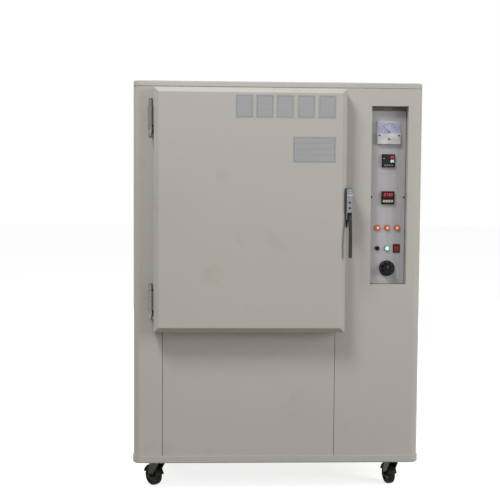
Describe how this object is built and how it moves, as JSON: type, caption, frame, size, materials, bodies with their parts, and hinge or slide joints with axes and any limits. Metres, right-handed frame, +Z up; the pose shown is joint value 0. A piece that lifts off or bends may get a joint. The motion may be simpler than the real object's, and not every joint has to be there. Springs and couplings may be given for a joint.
{
  "type": "environmental test chamber",
  "caption": "Floor-standing heated test cabinet on swivel casters with a side-hinged bevelled door, a hanging latch lever and a recessed strip of instruments.",
  "frame": {"origin": "centre of the bounding box on the floor", "axes": "+Z up, the door and the controls face -Y, +X to the viewer's right"},
  "size_m": [1.066, 0.865, 1.519],
  "materials": {
    "cream_paint": "satin powder coat",
    "frame_steel": "primer",
    "stainless": "brushed",
    "polished_wire": "electropolished",
    "mineral_wool": "matt",
    "screw_metal": "black oxide",
    "heater_steel": "heat-tinted",
    "motor_paint": "satin",
    "chrome_plate": "polished",
    "lever_metal": "polished",
    "black_metal": "satin",
    "silver_plate": "satin anodised",
    "label_foil": "satin",
    "meter_plastic": "satin",
    "clear_plastic": "clear",
    "needle_black": "matt",
    "case_plastic": "fine grain",
    "key_plastic": "satin",
    "lamp_ring": "polished",
    "orange_lens": "ribbed",
    "green_lens": "ribbed",
    "red_rocker": "gloss",
    "knob_plastic": "satin",
    "control_metal": "plain",
    "gland_plastic": "satin",
    "seal_rubber": "matt",
    "caster_zinc": "zinc plated",
    "caster_black": "satin",
    "caster_tyre": "matt"
  },
  "bodies": {
    "cabinet": {"base_tray": "cream_paint", "support_frame": "frame_steel", "left_side_panel": "cream_paint", "right_side_panel": "cream_paint", "front_centre_panel": "cream_paint", "rear_panel": "cream_paint", "top_cap": "cream_paint", "panel_screws": "screw_metal", "chamber_liner": "stainless", "chamber_insulation": "mineral_wool", "air_baffle": "stainless", "shelf_runners": "stainless", "fan_motor": "motor_paint", "heater_ring": "heater_steel", "temperature_probe": "stainless", "hinge_cabinet_leaves": "chrome_plate", "latch_keeper": "chrome_plate", "control_pocket": "cream_paint", "control_plate": "silver_plate", "meter_case": "meter_plastic", "meter_window": "clear_plastic", "temperature_controller": "case_plastic", "digital_timer": "case_plastic", "lamp_bezels": "lamp_ring", "orange_lamp_lenses": "orange_lens", "green_lamp_lens": "green_lens", "buzzer": "case_plastic", "rocker_housing": "case_plastic", "thermostat_body": "control_metal", "electrical_plate": "control_metal", "contactor": "case_plastic", "cable_gland": "gland_plastic", "caster_plates": "caster_zinc"},
    "door": {"door_shell": "cream_paint", "door_inner_panel": "stainless", "door_insulation": "mineral_wool", "door_gasket": "seal_rubber", "door_label_plates": "label_foil", "hinge_door_leaves": "chrome_plate", "latch_body": "chrome_plate"},
    "latch": {"latch_lever": "lever_metal", "latch_cam": "black_metal"},
    "meter_needle": {"meter_needle": "needle_black"},
    "rocker_switch": {"rocker_switch": "red_rocker"},
    "thermostat_knob": {"thermostat_knob": "knob_plastic"},
    "fan_impeller": {"fan_impeller": "stainless"},
    "upper_shelf": {"upper_shelf": "polished_wire"},
    "lower_shelf": {"lower_shelf": "polished_wire"},
    "timer_key_1": {"timer_key_1": "key_plastic"},
    "timer_key_2": {"timer_key_2": "key_plastic"},
    "timer_key_3": {"timer_key_3": "key_plastic"},
    "timer_key_4": {"timer_key_4": "key_plastic"},
    "caster_fork_front_left": {"caster_fork_front_left": "caster_black"},
    "caster_fork_front_right": {"caster_fork_front_right": "caster_black"},
    "caster_fork_rear_left": {"caster_fork_rear_left": "caster_black"},
    "caster_fork_rear_right": {"caster_fork_rear_right": "caster_black"},
    "caster_wheel_front_left": {"caster_wheel_front_left": "caster_tyre"},
    "caster_wheel_front_right": {"caster_wheel_front_right": "caster_tyre"},
    "caster_wheel_rear_left": {"caster_wheel_rear_left": "caster_tyre"},
    "caster_wheel_rear_right": {"caster_wheel_rear_right": "caster_tyre"}
  },
  "joints": [
    {"name": "door_swing", "type": "hinge", "parent": "cabinet", "child": "door", "pos_m": [-0.4635, -0.3855, 1.0495], "axis": [0, 0, -1], "range_deg": [0, 120]},
    {"name": "latch_turn", "type": "hinge", "parent": "door", "child": "latch", "pos_m": [0.253, -0.3975, 1.033], "axis": [-1, 0, 0], "range_deg": [0, 60]},
    {"name": "needle_turn", "type": "hinge", "parent": "cabinet", "child": "meter_needle", "pos_m": [0.4088, -0.3195, 1.3435], "axis": [0, 1, 0], "range_deg": [0, 90]},
    {"name": "rocker_tilt", "type": "hinge", "parent": "cabinet", "child": "rocker_switch", "pos_m": [0.4438, -0.3105, 0.912], "axis": [-1, 0, 0], "range_deg": [0, 16]},
    {"name": "thermostat_turn", "type": "hinge", "parent": "cabinet", "child": "thermostat_knob", "pos_m": [0.4088, -0.3255, 0.838], "axis": [0, 1, 0], "range_deg": [-135, 135]},
    {"name": "fan_spin", "type": "hinge", "parent": "cabinet", "child": "fan_impeller", "pos_m": [-0.105, 0.1345, 1.0495], "axis": [0, 1, 0], "continuous": true},
    {"name": "upper_shelf_slide", "type": "slide", "parent": "cabinet", "child": "upper_shelf", "axis": [0, -1, 0], "range_m": [0, 0.024]},
    {"name": "lower_shelf_slide", "type": "slide", "parent": "cabinet", "child": "lower_shelf", "axis": [0, -1, 0], "range_m": [0, 0.024]},
    {"name": "timer_key_1_press", "type": "slide", "parent": "cabinet", "child": "timer_key_1", "axis": [0, 1, 0], "range_m": [0, 0.0008], "stiffness_N_per_m": 250, "springref_m": -0.0006},
    {"name": "timer_key_2_press", "type": "slide", "parent": "cabinet", "child": "timer_key_2", "axis": [0, 1, 0], "range_m": [0, 0.0008], "stiffness_N_per_m": 250, "springref_m": -0.0006},
    {"name": "timer_key_3_press", "type": "slide", "parent": "cabinet", "child": "timer_key_3", "axis": [0, 1, 0], "range_m": [0, 0.0008], "stiffness_N_per_m": 250, "springref_m": -0.0006},
    {"name": "timer_key_4_press", "type": "slide", "parent": "cabinet", "child": "timer_key_4", "axis": [0, 1, 0], "range_m": [0, 0.0008], "stiffness_N_per_m": 250, "springref_m": -0.0006},
    {"name": "front_left_swivel", "type": "hinge", "parent": "cabinet", "child": "caster_fork_front_left", "pos_m": [-0.447, -0.2535, 0.09], "axis": [0, 0, 1], "continuous": true},
    {"name": "front_left_roll", "type": "hinge", "parent": "caster_fork_front_left", "child": "caster_wheel_front_left", "pos_m": [-0.46038, -0.23864, 0.038], "axis": [0.7431, 0.6691, 0], "continuous": true},
    {"name": "front_right_swivel", "type": "hinge", "parent": "cabinet", "child": "caster_fork_front_right", "pos_m": [0.447, -0.2535, 0.09], "axis": [0, 0, 1], "continuous": true},
    {"name": "front_right_roll", "type": "hinge", "parent": "caster_fork_front_right", "child": "caster_wheel_front_right", "pos_m": [0.4425, -0.23401, 0.038], "axis": [0.9744, 0.225, 0], "continuous": true},
    {"name": "rear_left_swivel", "type": "hinge", "parent": "cabinet", "child": "caster_fork_rear_left", "pos_m": [-0.447, 0.3125, 0.09], "axis": [0, 0, 1], "continuous": true},
    {"name": "rear_left_roll", "type": "hinge", "parent": "caster_fork_rear_left", "child": "caster_wheel_rear_left", "pos_m": [-0.4667, 0.30903, 0.038], "axis": [-0.1736, 0.9848, 0], "continuous": true},
    {"name": "rear_right_swivel", "type": "hinge", "parent": "cabinet", "child": "caster_fork_rear_right", "pos_m": [0.447, 0.3125, 0.09], "axis": [0, 0, 1], "continuous": true},
    {"name": "rear_right_roll", "type": "hinge", "parent": "caster_fork_rear_right", "child": "caster_wheel_rear_right", "pos_m": [0.45545, 0.33063, 0.038], "axis": [0.9063, -0.4226, 0], "continuous": true}
  ]
}
